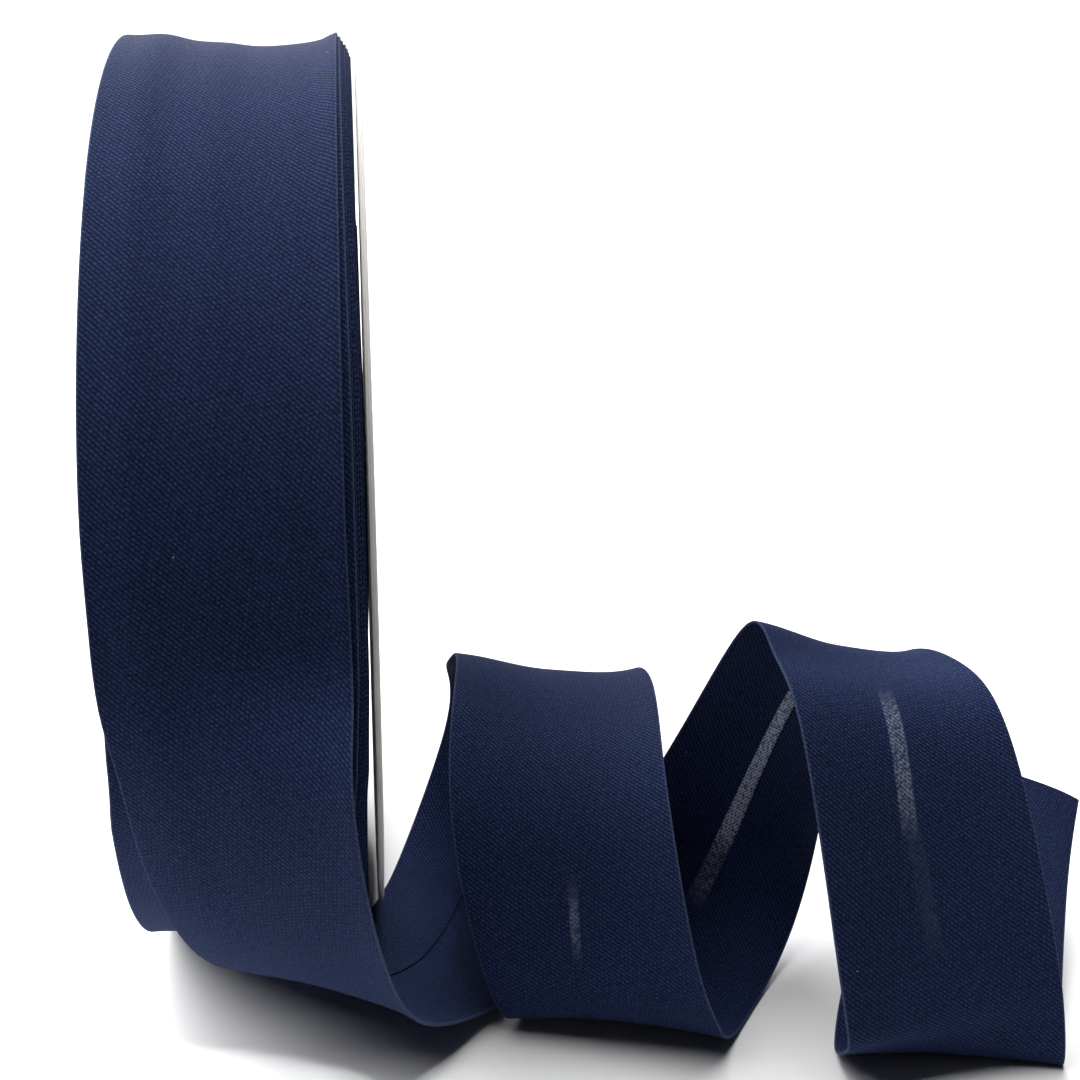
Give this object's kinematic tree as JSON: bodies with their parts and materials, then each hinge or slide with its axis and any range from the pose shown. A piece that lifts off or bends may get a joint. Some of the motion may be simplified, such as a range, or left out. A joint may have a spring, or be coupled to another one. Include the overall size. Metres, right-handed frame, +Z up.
{
  "type": "roll of bias tape on a card disc",
  "caption": "Roll of navy folded bias tape standing on its edge beside a white card disc, its loose end curling away over the surface.",
  "frame": {"origin": "on the surface, at the middle of the roll's flat spot, straight under the roll's axis", "axes": "+X along the roll's axis towards the card disc and the loose end, -Y towards the viewer, +Z up"},
  "size_m": [0.1456, 0.1437, 0.1359],
  "materials": {
    "navy_tape": "woven cotton, matt",
    "white_card": "uncoated card"
  },
  "bodies": {
    "root": {"tape_roll": "navy_tape", "tape_tail": "navy_tape", "card_disc": "white_card"}
  },
  "joints": []
}
